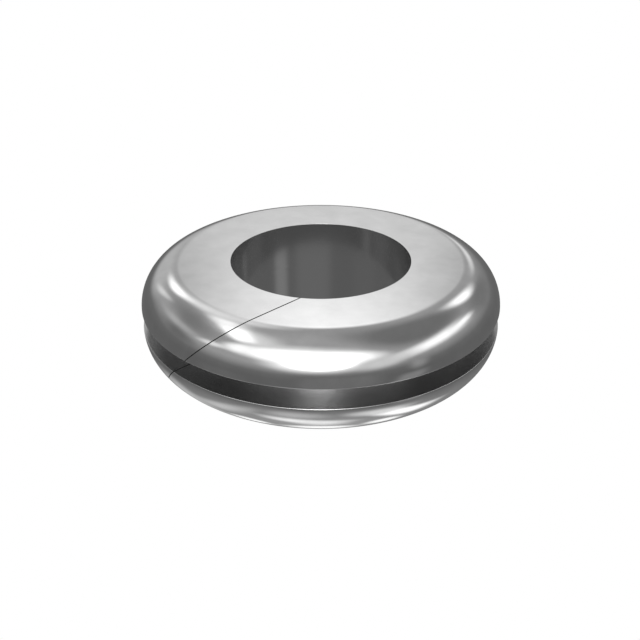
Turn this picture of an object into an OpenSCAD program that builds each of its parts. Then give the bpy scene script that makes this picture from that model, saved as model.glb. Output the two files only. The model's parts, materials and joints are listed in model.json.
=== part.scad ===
// Double grommet: a ring with a round-shouldered flange on each side of a groove that holds
// the edge of a panel, and a leaning slit that lets a cable in from the side.
// The origin is the ring's centre, halfway across the groove, and +Z is the bore's axis.

/* [Bore] */
// Diameter of the bore that the cable runs through
bore_d = 11; // [8:0.5:12]

/* [Flanges] */
// Outside diameter of both flanges
flange_d = 22; // [18:0.5:40]
// Thickness of each flange, from the groove to its flat face
flange_t = 2.4; // [1:0.1:4]
// Radius of the round shoulder on each flange, up to the flange's thickness
shoulder_r = 2.4; // [0.4:0.1:2.4]

/* [Groove] */
// Diameter of the groove's floor, which sits in the hole in the panel
groove_d = 13.5; // [12.5:0.5:20]
// Width of the groove, which takes the thickness of the panel
groove_w = 1.2; // [0.6:0.1:4]

/* [Slit] */
// Gap between the two faces of the slit
slit_gap = 0.05; // [0.02:0.01:1]
// Lean of the slit from the bore's axis, in degrees
slit_lean = 45; // [0:5:50]

/* [Edges] */
// Chamfer along the lips of the groove and round the ends of the bore
edge_break = 0.03; // [0.02:0.01:0.3]

/* [Hidden] */
$fn = 144;

bore_r = bore_d / 2;
flange_r = flange_d / 2;
groove_r = groove_d / 2;
groove_side = groove_w / 2;
face_z = groove_side + flange_t;
shoulder = min(shoulder_r, flange_t);
flat_r = flange_r - shoulder;
slit_reach = 2 * face_z / cos(slit_lean);

// Half section of the web between the bore and the groove's floor
module web_section() {
    translate([bore_r, -groove_side]) square([groove_r - bore_r, groove_w]);
}

// Half section of one flange, standing on the side of the groove
module flange_section() {
    translate([bore_r, 0]) square([flat_r - bore_r, flange_t]);
    translate([flat_r, flange_t - shoulder]) intersection() {
        circle(shoulder);
        square(shoulder);
    }
    if (flange_t > shoulder) translate([flat_r, 0]) square([shoulder, flange_t - shoulder]);
}

// Cutter for a chamfer whose legs are one edge break long, centred on the corner it takes off
module corner_cut() {
    rotate(45) square(edge_break * sqrt(2), center = true);
}

// Half section of the whole ring, the same above and below the groove
module ring_section() {
    difference() {
        union() {
            web_section();
            for (side = [0, 1]) mirror([0, side]) translate([0, groove_side]) flange_section();
        }
        for (side = [-1, 1]) {
            translate([flange_r, side * groove_side]) corner_cut();
            translate([bore_r, side * face_z]) corner_cut();
        }
    }
}

// Slab that opens the ring on its -Y side, leaning towards +X at the top
module slit() {
    rotate([0, slit_lean, 0]) translate([-slit_gap / 2, -flange_d, -slit_reach])
        cube([slit_gap, flange_d, 2 * slit_reach]);
}

module grommet() {
    color("silver") difference() {
        rotate_extrude() ring_section();
        slit();
    }
}

grommet();
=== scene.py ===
"""Double grommet: a polished ring with a panel groove and a leaning slit, in a soft studio.

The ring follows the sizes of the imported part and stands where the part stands.
All lengths are in metres.
"""
import json
import math
from typing import NamedTuple

import bmesh
import bpy
from bpy.props import FloatProperty, FloatVectorProperty, IntProperty, PointerProperty
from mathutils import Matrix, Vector


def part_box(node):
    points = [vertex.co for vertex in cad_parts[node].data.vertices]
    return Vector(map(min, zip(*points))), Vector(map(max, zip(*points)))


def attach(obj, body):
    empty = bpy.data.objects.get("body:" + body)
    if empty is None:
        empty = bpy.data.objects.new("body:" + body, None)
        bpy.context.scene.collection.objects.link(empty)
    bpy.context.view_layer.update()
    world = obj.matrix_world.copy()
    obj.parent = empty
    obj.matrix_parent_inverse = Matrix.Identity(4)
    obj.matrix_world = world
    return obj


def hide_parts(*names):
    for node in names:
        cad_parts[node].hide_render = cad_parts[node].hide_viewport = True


bl_info = {
    "name": "Double Grommet",
    "version": (1, 0, 0),
    "blender": (4, 5, 0),
    "location": "3D View > Sidebar > Grommet",
    "description": "Builds a polished double grommet with a leaning slit, and its soft studio",
    "category": "Object",
}

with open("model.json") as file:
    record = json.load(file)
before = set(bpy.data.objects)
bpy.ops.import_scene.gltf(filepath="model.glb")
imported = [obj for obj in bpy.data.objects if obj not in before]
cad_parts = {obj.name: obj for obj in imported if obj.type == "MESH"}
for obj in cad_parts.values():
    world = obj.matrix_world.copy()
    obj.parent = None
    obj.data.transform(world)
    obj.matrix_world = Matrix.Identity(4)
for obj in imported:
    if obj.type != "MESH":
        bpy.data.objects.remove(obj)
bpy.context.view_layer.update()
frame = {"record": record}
PART_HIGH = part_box("grommet")[1]
MOUNT_SIZES = {mount["name"]: mount["dims"] for mount in frame["record"]["mounts"]}
BORE = MOUNT_SIZES["cable_bore"]
GROOVE = MOUNT_SIZES["panel_groove"]

MM = 0.001
FULL_TURN = 2 * math.pi
RIGHT_ANGLE = math.pi / 2
# A width too small to see, which keeps a face on the right side of a boundary
HAIR = 0.005 * MM
# Bounces that each path of light is followed for, because the groove's flanges mirror each other
MIRROR_BOUNCES = 16
# Steps over each run of the half section above the groove's middle
GROOVE_FLOOR_STEPS = 2
GROOVE_SIDE_STEPS = 4
LIP_STEPS = 6
FLAT_STEPS = 4
RIM_STEPS = 4
BORE_STEPS = 12
# Edges that turn by more than this stay sharp
SHARP_ANGLE = math.radians(40)
# Octaves of the two noises, and how much of its strength each finer one keeps
MARK_NOISE = {"Scale": 1.0, "Detail": 3.0, "Roughness": 0.6}
CLOUD_NOISE = {"Detail": 4.0, "Roughness": 0.55}
FLOOR_SEGMENTS = 96
# How far the camera sees, in radii of the floor
VIEW_DEPTH = 10


class SoftPanel(NamedTuple):
    """A glowing panel of the studio, as the part sees it. All angles are in degrees."""

    heading: float  # round from the camera, towards its right
    elevation: float
    half_width: float
    half_height: float
    roll: float
    softness: float  # share of the half sizes over which the edge fades, inwards and outwards
    level: float  # brightness, where 1 shows as white on the metal
    squareness: float  # 2 is an ellipse, and 4 is a rounded rectangle


SOFT_PANELS = {
    "dim ceiling, right": SoftPanel(112, 58, 28, 21, 0, 0.4, 0.145, 2),
    "dim wall, right": SoftPanel(134, 18, 16, 14, 0, 0.6, 0.16, 2),
    "grey wall, left": SoftPanel(-114, 40, 22, 9, 0, 0.7, 0.18, 2),
    "dim wall, left": SoftPanel(-96, 12, 14, 8, 0, 0.7, 0.14, 2),
    "pale wall, left back": SoftPanel(-152, 13, 18, 11, 0, 0.6, 0.41, 2),
    "halo, left": SoftPanel(-90, 65, 22, 9.5, 0, 0.6, 0.62, 2),
    "halo, front": SoftPanel(-14, 64, 22, 12, 0, 0.6, 0.6, 2),
    "front box, upper": SoftPanel(-8, 50, 35, 17, 0, 0.35, 1.25, 2),
    "front box, lower": SoftPanel(-4, 30, 21, 14, 0, 0.8, 1.25, 2),
    "front box, left wing": SoftPanel(-61, 43, 7.5, 9.5, 0, 0.6, 1.0, 2),
    "front box, left tail": SoftPanel(-74, 31, 9, 4, 30, 0.7, 0.72, 2),
    "front box, hot middle": SoftPanel(-1, 34, 12, 10, 0, 0.9, 7.5, 2),
    "high strip, left": SoftPanel(-106, 61.5, 15.5, 5, 3, 0.4, 1.3, 4),
    "high strip, left end": SoftPanel(-144, 53, 9, 4.5, 35, 0.8, 1.05, 2),
    "upright, left back": SoftPanel(-162, 41, 8, 10, 0, 0.7, 0.72, 2),
    "lamp, left back": SoftPanel(-154, 30, 5, 5, 0, 0.7, 1.25, 2),
    "faint lamp, left": SoftPanel(-137, 21, 3, 7, -15, 0.8, 0.66, 2),
    "faint strip, left": SoftPanel(-106, 25, 14, 4, 15, 0.8, 0.38, 2),
    "back wall": SoftPanel(180, 17, 11, 16, 0, 0.35, 0.56, 2),
    "back box": SoftPanel(180, 33, 7, 7, 0, 0.8, 1.0, 2),
    "faint strip, right": SoftPanel(40, 24, 17, 10, 25, 0.6, 0.56, 2),
    "strip, right": SoftPanel(81, 30, 19, 7, 0, 0.8, 1.1, 4),
    "strip, right end": SoftPanel(103, 27, 11, 3.5, -8, 0.5, 1.05, 4),
    "lamp, right back": SoftPanel(146, 34, 6.5, 6, 0, 0.7, 1.2, 2),
    "slim lamp, right back": SoftPanel(162, 17, 6, 3, -42, 0.8, 0.7, 2),
    "spot, right": SoftPanel(58, 2, 5, 9, 0, 0.9, 0.27, 2),
    "low stripe, right": SoftPanel(56, -26, 8, 10, 0, 0.5, 0.21, 4),
    "low stripe, front": SoftPanel(11, -18, 22, 17, 0, 0.3, 0.145, 4),
    "low stripe, left": SoftPanel(-62, -26, 15, 10, 0, 0.4, 0.12, 4),
    "floor strip, right": SoftPanel(85, -62, 18, 5.8, 0, 0.5, 1.1, 4),
    "floor strip, left": SoftPanel(-101, -59, 23, 5, -4, 0.8, 0.48, 2),
    "low glow, left back": SoftPanel(-144, -46, 14, 7, 0, 0.8, 0.42, 2),
    "floor glow, left back": SoftPanel(-154, -60, 7.5, 3.5, -45, 0.6, 1.0, 2),
    "floor glow, right back": SoftPanel(143, -67, 9, 4, 40, 0.5, 1.0, 2),
    "floor haze, left": SoftPanel(-19, -57, 11, 9, 0, 0.8, 0.44, 2),
    "floor haze, right": SoftPanel(47, -55, 13, 7, 0, 0.8, 0.68, 2),
    "floor glow, front": SoftPanel(-30, -79, 14, 7.5, -35, 0.6, 0.87, 2),
    "floor glow, back": SoftPanel(180, -67, 6, 10, 0, 0.6, 1.0, 2),
}

# Elevation in degrees and brightness of the studio's walls, from the floor up to the ceiling
STUDIO_WALLS = (
    (-90, 0.8),
    (-80, 0.3),
    (-65, 0.24),
    (-50, 0.2),
    (-40, 0.15),
    (-32, 0.112),
    (-10, 0.11),
    (2, 0.128),
    (12, 0.23),
    (20, 0.30),
    (50, 0.28),
    (90, 0.33),
)


class GROMMET_PG_shape(bpy.types.PropertyGroup):
    """Sizes of the ring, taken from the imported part."""

    outside_radius: FloatProperty(
        name="Outside radius",
        description="Radius of both flanges",
        default=PART_HIGH.x,
        unit="LENGTH",
    )
    half_height: FloatProperty(
        name="Half height",
        description="From the middle of the groove to a flat face",
        default=PART_HIGH.z,
        unit="LENGTH",
    )
    bore_radius: FloatProperty(
        name="Bore radius",
        description="Radius of the bore that the cable runs through",
        default=BORE["r_mm"] * MM,
        unit="LENGTH",
    )
    groove_radius: FloatProperty(
        name="Groove radius",
        description="Radius of the groove's floor",
        default=GROOVE["r_mm"] * MM,
        unit="LENGTH",
    )
    groove_width: FloatProperty(
        name="Groove width",
        description="Room between the flanges for the panel",
        default=GROOVE["length_mm"] * MM,
        unit="LENGTH",
    )
    rim_radius: FloatProperty(
        name="Rim radius",
        description="Rounding of the bore's ends",
        default=0.015 * MM,
        unit="LENGTH",
    )
    upper_lip_radius: FloatProperty(
        name="Upper lip radius",
        description="Rounding of the groove's upper lip",
        default=0.06 * MM,
        unit="LENGTH",
    )
    lower_lip_radius: FloatProperty(
        name="Lower lip radius",
        description="Rounding of the groove's lower lip",
        default=0.03 * MM,
        unit="LENGTH",
    )
    slit_gap: FloatProperty(
        name="Slit gap",
        description="Gap between the two faces of the slit",
        default=0.05 * MM,
        unit="LENGTH",
    )
    slit_lean: FloatProperty(
        name="Slit lean",
        description="Lean of the slit from the bore's axis",
        default=math.radians(45),
        subtype="ANGLE",
    )
    turn_steps: IntProperty(
        name="Steps round",
        description="Number of faces round the ring",
        default=432,
        min=48,
    )
    shoulder_steps: IntProperty(
        name="Shoulder steps",
        description="Number of faces over one round shoulder",
        default=36,
        min=8,
    )


class GROMMET_PG_finish(bpy.types.PropertyGroup):
    """Polished metal of the ring."""

    colour: FloatVectorProperty(
        name="Colour",
        description="Neutral silver of the metal where it is clearest",
        default=(0.845, 0.845, 0.845),
        size=3,
        min=0.0,
        max=1.0,
        subtype="COLOR",
    )
    clouding: FloatProperty(
        name="Clouding",
        description="How much darker the metal is in its faint clouds",
        default=0.25,
        subtype="FACTOR",
    )
    cloud_size: FloatProperty(
        name="Cloud size",
        description="Size of the faint clouds left by polishing",
        default=1.6 * MM,
        unit="LENGTH",
    )
    roughness: FloatProperty(
        name="Roughness",
        description="Roughness of the clearest polished metal",
        default=0.10,
        subtype="FACTOR",
    )
    # Painted shade: the bore's metal is darker than the outside, standing in for the shade inside
    # the bore
    bore_painted_shade: FloatVectorProperty(
        name="Bore colour",
        description="Metal of the bore, a little duller than the polished outside",
        default=(0.62, 0.62, 0.62),
        size=3,
        min=0.0,
        max=1.0,
        subtype="COLOR",
    )
    # Painted shade in the groove: its metal is darkened a little deep inside and much more at the
    # mouth, standing in for the shade between the flanges
    groove_deep_painted_shade: FloatVectorProperty(
        name="Groove colour",
        description="Metal deep in the groove",
        default=(0.8, 0.8, 0.8),
        size=3,
        min=0.0,
        max=1.0,
        subtype="COLOR",
    )
    # Painted shade at the groove's mouth, darker than deep in the groove
    mouth_painted_shade: FloatVectorProperty(
        name="Groove mouth colour",
        description="Metal at the groove's mouth, dulled where panels have rubbed it",
        default=(0.57, 0.57, 0.57),
        size=3,
        min=0.0,
        max=1.0,
        subtype="COLOR",
    )
    # How far the painted shade of the mouth reaches into the groove
    shaded_mouth_depth: FloatProperty(
        name="Groove mouth depth",
        description="How far the dull mouth reaches into the groove",
        default=1.5 * MM,
        unit="LENGTH",
    )
    bore_roughness: FloatProperty(
        name="Bore roughness",
        description="Roughness of the bore, which is turned but not polished",
        default=0.15,
        subtype="FACTOR",
    )
    groove_roughness: FloatProperty(
        name="Groove roughness",
        description="Roughness of the groove's sides, which are turned but not polished",
        default=0.24,
        subtype="FACTOR",
    )
    floor_roughness: FloatProperty(
        name="Groove floor roughness",
        description="Roughness of the groove's floor",
        default=0.12,
        subtype="FACTOR",
    )
    # Painted shade: the slit's sawn faces are darkened to stand in for the shadow in the narrow gap;
    # their roughness is their own
    slit_painted_shade: FloatVectorProperty(
        name="Slit colour",
        description="Dull metal of the slit's sawn faces",
        default=(0.3, 0.3, 0.3),
        size=3,
        min=0.0,
        max=1.0,
        subtype="COLOR",
    )
    slit_roughness: FloatProperty(
        name="Slit roughness",
        description="Roughness of the slit's sawn faces",
        default=0.45,
        subtype="FACTOR",
    )
    haze: FloatProperty(
        name="Haze",
        description="Roughness that the clouds and the turning marks add",
        default=0.05,
        subtype="FACTOR",
    )
    mark_spacing: FloatProperty(
        name="Mark spacing",
        description="Spacing of the turning marks that run round the ring",
        default=0.09 * MM,
        unit="LENGTH",
    )
    mark_depth: FloatProperty(
        name="Mark depth",
        description="Depth of the turning marks",
        default=0.00004 * MM,
        unit="LENGTH",
    )


class GROMMET_PG_studio(bpy.types.PropertyGroup):
    """Camera, floor and light."""

    camera_heading: FloatProperty(
        name="Camera heading",
        description="Round the bore's axis, from -Y towards +X",
        default=math.radians(45),
        subtype="ANGLE",
    )
    camera_elevation: FloatProperty(
        name="Camera elevation",
        description="Height of the camera above the groove's plane, as an angle",
        default=math.radians(28.62),
        subtype="ANGLE",
    )
    camera_distance: FloatProperty(
        name="Camera distance",
        description="From the point that the camera looks at",
        default=52.64 * MM,
        unit="LENGTH",
    )
    aim_height: FloatProperty(
        name="Aim height",
        description="Height of the point on the bore's axis that the camera looks at",
        default=-1.337 * MM,
        unit="LENGTH",
    )
    lens: FloatProperty(
        name="Lens",
        description="Focal length in millimetres",
        default=46.52,
        unit="CAMERA",
    )
    picture_shift: FloatProperty(
        name="Picture shift",
        description="Sideways shift of the picture, as a share of its width",
        default=-0.00135,
        precision=5,
    )
    light_level: FloatProperty(
        name="Light level",
        description="Brightness of the studio's walls and panels",
        default=1.316,
    )
    floor_radius: FloatProperty(
        name="Floor radius",
        description="Radius of the pale floor",
        default=1.0,
        unit="LENGTH",
    )
    floor_colour: FloatVectorProperty(
        name="Floor colour",
        description="Colour of the floor and of the background",
        default=(1.0, 1.0, 1.0),
        size=3,
        subtype="COLOR",
    )


class Wire:
    """The output of a shader node. Python's operators on it add Math nodes."""

    def __init__(self, tree, socket):
        self.tree = tree
        self.socket = socket

    @classmethod
    def node(cls, tree, kind, settings=None, inputs=None, output=0):
        """Add a node: its settings first, then the values or links of its sockets."""
        node = tree.nodes.new(kind)
        for name, value in (settings or {}).items():
            if name == "stops":
                set_stops(node.color_ramp, value)
            else:
                setattr(node, name, value)
        for name, value in (inputs or {}).items():
            socket = find_socket(node.inputs, name)
            if isinstance(value, Wire):
                tree.links.new(value.socket, socket)
            else:
                socket.default_value = value
        return cls(tree, find_socket(node.outputs, output) if node.outputs else None)

    def math(self, operation, first, second=0.0):
        """Add a Math node."""
        settings = {"operation": operation}
        return Wire.node(self.tree, "ShaderNodeMath", settings, {0: first, 1: second})

    def __add__(self, other):
        return self.math("ADD", self, other)

    __radd__ = __add__

    def __sub__(self, other):
        return self.math("SUBTRACT", self, other)

    def __rsub__(self, other):
        return self.math("SUBTRACT", other, self)

    def __mul__(self, other):
        return self.math("MULTIPLY", self, other)

    __rmul__ = __mul__

    def __truediv__(self, other):
        return self.math("DIVIDE", self, other)

    def __rtruediv__(self, other):
        return self.math("DIVIDE", other, self)

    def __pow__(self, other):
        return self.math("POWER", self, other)

    def __rpow__(self, other):
        return self.math("POWER", other, self)

    def parts(self):
        """The X, Y and Z of a vector."""
        split = Wire.node(self.tree, "ShaderNodeSeparateXYZ", inputs={0: self}).socket.node
        return [Wire(self.tree, socket) for socket in split.outputs]


def find_socket(sockets, key):
    """A socket by its number, its identifier or its name."""
    if isinstance(key, int):
        return sockets[key]
    return next(socket for socket in sockets if key in (socket.identifier, socket.name))


def set_stops(ramp, stops):
    """Give a colour ramp its stops, each a position and a grey, from the lowest up."""
    ramp.elements.remove(ramp.elements[-1])
    for number, (position, grey) in enumerate(stops):
        element = ramp.elements.new(position) if number else ramp.elements[0]
        element.position = position
        element.color = (grey, grey, grey, 1.0)


def opaque(colour):
    """A colour with its alpha."""
    return (*colour, 1.0)


def blend(tree, factor, first, second):
    """Mix two colours."""
    inputs = {"Factor_Float": factor, "A_Color": first, "B_Color": second}
    return Wire.node(tree, "ShaderNodeMix", {"data_type": "RGBA"}, inputs, "Result_Color")


def arc(centre, radius, start, end, steps):
    """Points on an arc of the half section, both ends included. The angles are in degrees."""
    points = []
    for step in range(steps + 1):
        angle = math.radians(start + (end - start) * step / steps)
        points.append((centre[0] + radius * math.cos(angle), centre[1] + radius * math.sin(angle)))
    return points


def straight(start, end, steps, margin):
    """Points along a straight run, with one close to each end to keep its shading flat."""
    start, end = Vector(start), Vector(end)
    share = margin / (end - start).length
    shares = [share, *[step / steps for step in range(1, steps)], 1 - share]
    return [tuple(start.lerp(end, part)) for part in shares]


def upper_section(shape, lip_edge):
    """The half section above the groove's middle, from the groove's floor round to the bore.

    Each point is a radius and a height.
    """
    edge = shape.rim_radius
    groove_side = shape.groove_width / 2
    shoulder = shape.half_height - groove_side
    flat_radius = shape.outside_radius - shoulder
    floor_corner = (shape.groove_radius, groove_side)
    lip_centre = (shape.outside_radius - lip_edge, groove_side + lip_edge)
    lip = arc(lip_centre, lip_edge, -90, 0, LIP_STEPS)
    crown_start = math.degrees(math.asin(lip_edge / shoulder))
    crown = arc((flat_radius, groove_side), shoulder, crown_start, 90, shape.shoulder_steps)
    rim_centre = (shape.bore_radius + edge, shape.half_height - edge)
    rim = arc(rim_centre, edge, 90, 180, RIM_STEPS)
    return [
        *straight((shape.groove_radius, 0), floor_corner, GROOVE_FLOOR_STEPS, edge),
        floor_corner,
        *straight(floor_corner, lip[0], GROOVE_SIDE_STEPS, edge),
        *lip[:-1],
        *crown,
        *straight(crown[-1], rim[0], FLAT_STEPS, edge),
        *rim,
        *straight(rim[-1], (shape.bore_radius, 0), BORE_STEPS, edge),
    ]


def ring_section(shape):
    """The closed half section, with a flange above the groove and one below it."""
    upper = upper_section(shape, shape.upper_lip_radius)
    mirrored = upper_section(shape, shape.lower_lip_radius)
    lower = [(radius, -height) for radius, height in reversed(mirrored)]
    return upper + lower


def slit_angle(shape, radius, height, side):
    """Where a face of the slit, side 1 or -1, crosses a circle of the ring, as an angle from +X."""
    middle = height * math.tan(shape.slit_lean)
    offset = side * shape.slit_gap / 2 / math.cos(shape.slit_lean)
    return math.asin((middle + offset) / radius) - RIGHT_ANGLE


def ring_mesh(shape):
    """The ring, swept from one face of the slit round to the other."""
    mesh = bpy.data.meshes.new("grommet_ring")
    work = bmesh.new()
    circles = []
    for radius, height in ring_section(shape):
        start = slit_angle(shape, radius, height, 1)
        end = slit_angle(shape, radius, height, -1) + FULL_TURN
        circle = []
        for step in range(shape.turn_steps + 1):
            angle = start + (end - start) * step / shape.turn_steps
            point = (radius * math.cos(angle), radius * math.sin(angle), height)
            circle.append(work.verts.new(point))
        circles.append(circle)
    neighbours = list(zip(circles, circles[1:] + circles[:1]))
    for here, there in neighbours:
        for step in range(shape.turn_steps):
            work.faces.new((here[step], here[step + 1], there[step + 1], there[step]))
    for end in (0, -1):
        outline = [work.edges.get((here[end], there[end])) for here, there in neighbours]
        bmesh.ops.triangle_fill(work, use_beauty=True, edges=outline)
    bmesh.ops.recalc_face_normals(work, faces=work.faces)
    work.to_mesh(mesh)
    work.free()
    mesh.shade_smooth()
    mesh.set_sharp_from_angle(angle=SHARP_ANGLE)
    return mesh


def polished_metal(shape, finish):
    """Neutral metal, polished outside and turned in the bore and the groove.

    It has faint clouds, fine turning marks, and painted shade in the bore, the groove and the slit.
    """
    material = bpy.data.materials.new("polished_metal")
    material.use_nodes = True
    tree = material.node_tree
    tree.nodes.clear()
    place = Wire.node(tree, "ShaderNodeTexCoord", output="Object")
    x, y, height = place.parts()
    radius = (x * x + y * y) ** 0.5
    in_bore = radius.math("LESS_THAN", radius, shape.bore_radius + HAIR)
    from_middle = height.math("ABSOLUTE", height)
    between_flanges = from_middle.math("LESS_THAN", from_middle, shape.groove_width / 2 + HAIR)
    in_groove = between_flanges * (1 - in_bore)
    on_floor = in_groove * radius.math("LESS_THAN", radius, shape.groove_radius + HAIR)
    from_slit = x * math.cos(shape.slit_lean) - height * math.sin(shape.slit_lean)
    from_slit = from_slit.math("ABSOLUTE", from_slit)
    near_slit = from_slit.math("LESS_THAN", from_slit, shape.slit_gap / 2 + HAIR)
    in_slit = near_slit * y.math("LESS_THAN", y, 0.0)
    turned = in_bore * (finish.bore_roughness - finish.roughness)
    turned = turned + in_groove * (finish.groove_roughness - finish.roughness)
    turned = turned + on_floor * (finish.floor_roughness - finish.groove_roughness)
    turned = turned + in_slit * (finish.slit_roughness - finish.roughness)
    section_place = Wire.node(
        tree,
        "ShaderNodeCombineXYZ",
        inputs={"X": radius / finish.mark_spacing, "Y": height / finish.mark_spacing},
    )
    marks = Wire.node(
        tree,
        "ShaderNodeTexNoise",
        {"noise_dimensions": "2D"},
        {"Vector": section_place, **MARK_NOISE},
    )
    clouds = Wire.node(
        tree,
        "ShaderNodeTexNoise",
        {"noise_dimensions": "3D"},
        {"Vector": place, "Scale": 1 / finish.cloud_size, **CLOUD_NOISE},
    )
    clouded = [part * (1 - finish.clouding) for part in finish.colour]
    colour = blend(tree, clouds, opaque(finish.colour), opaque(clouded))
    # Painted shade in the bore
    colour = blend(tree, in_bore, colour, opaque(finish.bore_painted_shade))
    # Painted shade in the groove, darker towards its mouth
    mouth_radius = shape.outside_radius - finish.shaded_mouth_depth
    mouth_fade = finish.shaded_mouth_depth / 2
    mouth_shade_share = Wire.node(
        tree,
        "ShaderNodeMapRange",
        {"interpolation_type": "SMOOTHSTEP"},
        {
            "Value": radius,
            "From Min": mouth_radius - mouth_fade,
            "From Max": mouth_radius + mouth_fade,
        },
    )
    groove_painted_shade = blend(tree, mouth_shade_share, opaque(finish.groove_deep_painted_shade), opaque(finish.mouth_painted_shade))
    colour = blend(tree, in_groove, colour, groove_painted_shade)
    # Painted shade on the slit's faces
    colour = blend(tree, in_slit, colour, opaque(finish.slit_painted_shade))
    bump = Wire.node(
        tree,
        "ShaderNodeBump",
        inputs={"Strength": 1.0, "Distance": finish.mark_depth, "Height": marks},
    )
    metal = Wire.node(
        tree,
        "ShaderNodeBsdfPrincipled",
        inputs={
            "Base Color": colour,
            "Metallic": 1.0,
            "Roughness": finish.roughness + turned + finish.haze * (clouds * marks),
            "Normal": bump,
        },
    )
    Wire.node(tree, "ShaderNodeOutputMaterial", inputs={"Surface": metal})
    return material


def towards(heading, elevation):
    """The unit vector towards a heading, counted from -Y round to +X, and an elevation."""
    level = math.cos(elevation)
    return Vector((math.sin(heading) * level, -math.cos(heading) * level, math.sin(elevation)))


def panel_mask(direction, panel, camera_heading):
    """How far a direction lies inside a soft panel, from 0 to 1."""
    turn = (
        math.radians(panel.roll),
        -math.radians(panel.elevation),
        math.radians(panel.heading) + camera_heading - RIGHT_ANGLE,
    )
    seen = Wire.node(
        direction.tree,
        "ShaderNodeVectorRotate",
        {"rotation_type": "EULER_XYZ", "invert": True},
        {"Vector": direction, "Rotation": turn},
    )
    ahead, across, above = seen.parts()
    along = across.math("ARCTAN2", across, ahead) / math.radians(panel.half_width)
    off = above.math("ARCSINE", above) / math.radians(panel.half_height)
    reach = (along ** panel.squareness + off ** panel.squareness) ** (1 / panel.squareness)
    return Wire.node(
        direction.tree,
        "ShaderNodeMapRange",
        {"interpolation_type": "SMOOTHSTEP"},
        {"Value": reach, "From Min": 1 + panel.softness, "From Max": 1 - panel.softness},
    )


def studio_light(tree, camera_heading):
    """Brightness of the studio in each direction: its walls, and over them the soft panels."""
    direction = Wire.node(tree, "ShaderNodeTexCoord", output="Generated")
    height = direction.parts()[2]
    elevation = height.math("ARCSINE", height)
    # The ramp runs from straight down to straight up
    stops = [((degrees + 90) / 180, grey) for degrees, grey in STUDIO_WALLS]
    share = elevation / math.pi + 0.5
    light = Wire.node(tree, "ShaderNodeValToRGB", {"stops": stops}, {"Fac": share})
    for panel in SOFT_PANELS.values():
        light = Wire.node(
            tree,
            "ShaderNodeMix",
            {"data_type": "FLOAT"},
            {
                "Factor_Float": panel_mask(direction, panel, camera_heading),
                "A_Float": light,
                "B_Float": panel.level,
            },
            "Result_Float",
        )
    return light


def studio_world(studio):
    """The studio as the metal sees it, and a plain background for the camera."""
    world = bpy.data.worlds.new("soft_studio")
    world.use_nodes = True
    tree = world.node_tree
    tree.nodes.clear()
    around = Wire.node(
        tree,
        "ShaderNodeBackground",
        inputs={"Color": studio_light(tree, studio.camera_heading), "Strength": studio.light_level},
    )
    behind = Wire.node(tree, "ShaderNodeBackground", inputs={"Color": opaque(studio.floor_colour)})
    to_camera = Wire.node(tree, "ShaderNodeLightPath", output="Is Camera Ray")
    shown = Wire.node(tree, "ShaderNodeMixShader", inputs={0: to_camera, 1: around, 2: behind})
    Wire.node(tree, "ShaderNodeOutputWorld", inputs={"Surface": shown})
    return world


def pale_floor(studio, height):
    """A plain pale floor under the part, which the metal doesn't mirror."""
    mesh = bpy.data.meshes.new("floor")
    work = bmesh.new()
    bmesh.ops.create_circle(work, cap_ends=True, segments=FLOOR_SEGMENTS, radius=studio.floor_radius)
    work.to_mesh(mesh)
    work.free()
    material = bpy.data.materials.new("pale_floor")
    material.use_nodes = True
    tree = material.node_tree
    tree.nodes.clear()
    glow = Wire.node(tree, "ShaderNodeEmission", inputs={"Color": opaque(studio.floor_colour)})
    Wire.node(tree, "ShaderNodeOutputMaterial", inputs={"Surface": glow})
    mesh.materials.append(material)
    floor = bpy.data.objects.new("floor", mesh)
    floor.location.z = height
    floor.visible_glossy = False
    floor.visible_diffuse = False
    return floor


def photo_camera(studio):
    """The camera at the photograph's viewing angle."""
    data = bpy.data.cameras.new("camera")
    data.lens = studio.lens
    data.shift_x = studio.picture_shift
    data.clip_start = MM
    data.clip_end = VIEW_DEPTH * studio.floor_radius
    back = towards(studio.camera_heading, studio.camera_elevation)
    camera = bpy.data.objects.new("camera", data)
    camera.location = Vector((0, 0, studio.aim_height)) + back * studio.camera_distance
    camera.rotation_mode = "QUATERNION"
    camera.rotation_quaternion = (-back).to_track_quat("-Z", "Y")
    return camera


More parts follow.
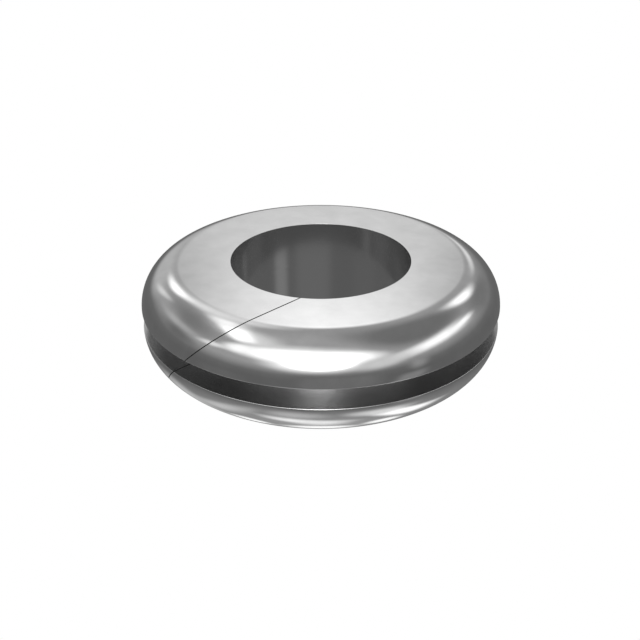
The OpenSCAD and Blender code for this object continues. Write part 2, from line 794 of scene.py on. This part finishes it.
class GROMMET_OT_ring(bpy.types.Operator):
    """Build the ring of polished metal in place of the plain part"""

    bl_idname = "grommet.ring"
    bl_label = "Ring"

    def execute(self, context):
        scene = context.scene
        mesh = ring_mesh(scene.grommet_shape)
        mesh.materials.append(polished_metal(scene.grommet_shape, scene.grommet_finish))
        ring = bpy.data.objects.new("grommet_ring", mesh)
        scene.collection.objects.link(ring)
        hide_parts("grommet")
        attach(ring, "root")
        return {"FINISHED"}


class GROMMET_OT_studio(bpy.types.Operator):
    """Set up the floor, the soft light and the camera"""

    bl_idname = "grommet.studio"
    bl_label = "Studio"

    def execute(self, context):
        scene = context.scene
        studio = scene.grommet_studio
        # A hair below the part, so that no two faces lie in one plane
        floor = pale_floor(studio, -scene.grommet_shape.half_height - HAIR)
        camera = photo_camera(studio)
        for thing in (floor, camera):
            scene.collection.objects.link(thing)
        scene.camera = camera
        scene.world = studio_world(studio)
        scene.view_settings.view_transform = "Standard"
        scene.cycles.min_light_bounces = MIRROR_BOUNCES
        scene.cycles.max_bounces = MIRROR_BOUNCES
        scene.cycles.glossy_bounces = MIRROR_BOUNCES
        return {"FINISHED"}


class GROMMET_PT_sidebar(bpy.types.Panel):
    """Lists the pieces and their settings"""

    bl_label = "Double Grommet"
    bl_space_type = "VIEW_3D"
    bl_region_type = "UI"
    bl_category = "Grommet"

    def draw(self, context):
        layout = self.layout
        for operator, group in (
            (GROMMET_OT_ring, context.scene.grommet_shape),
            (None, context.scene.grommet_finish),
            (GROMMET_OT_studio, context.scene.grommet_studio),
        ):
            box = layout.box()
            if operator:
                box.operator(operator.bl_idname)
            for name in group.__annotations__:
                box.prop(group, name)


CLASSES = (
    GROMMET_PG_shape,
    GROMMET_PG_finish,
    GROMMET_PG_studio,
    GROMMET_OT_ring,
    GROMMET_OT_studio,
    GROMMET_PT_sidebar,
)
SETTINGS = {
    "grommet_shape": GROMMET_PG_shape,
    "grommet_finish": GROMMET_PG_finish,
    "grommet_studio": GROMMET_PG_studio,
}


def register():
    for item in CLASSES:
        bpy.utils.register_class(item)
    for name, group in SETTINGS.items():
        setattr(bpy.types.Scene, name, PointerProperty(type=group))


def unregister():
    for name in SETTINGS:
        delattr(bpy.types.Scene, name)
    for item in reversed(CLASSES):
        bpy.utils.unregister_class(item)


def main():
    """Register the add-on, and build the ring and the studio."""
    register()
    bpy.ops.grommet.ring()
    bpy.ops.grommet.studio()


if __name__ == "__main__":
    main()
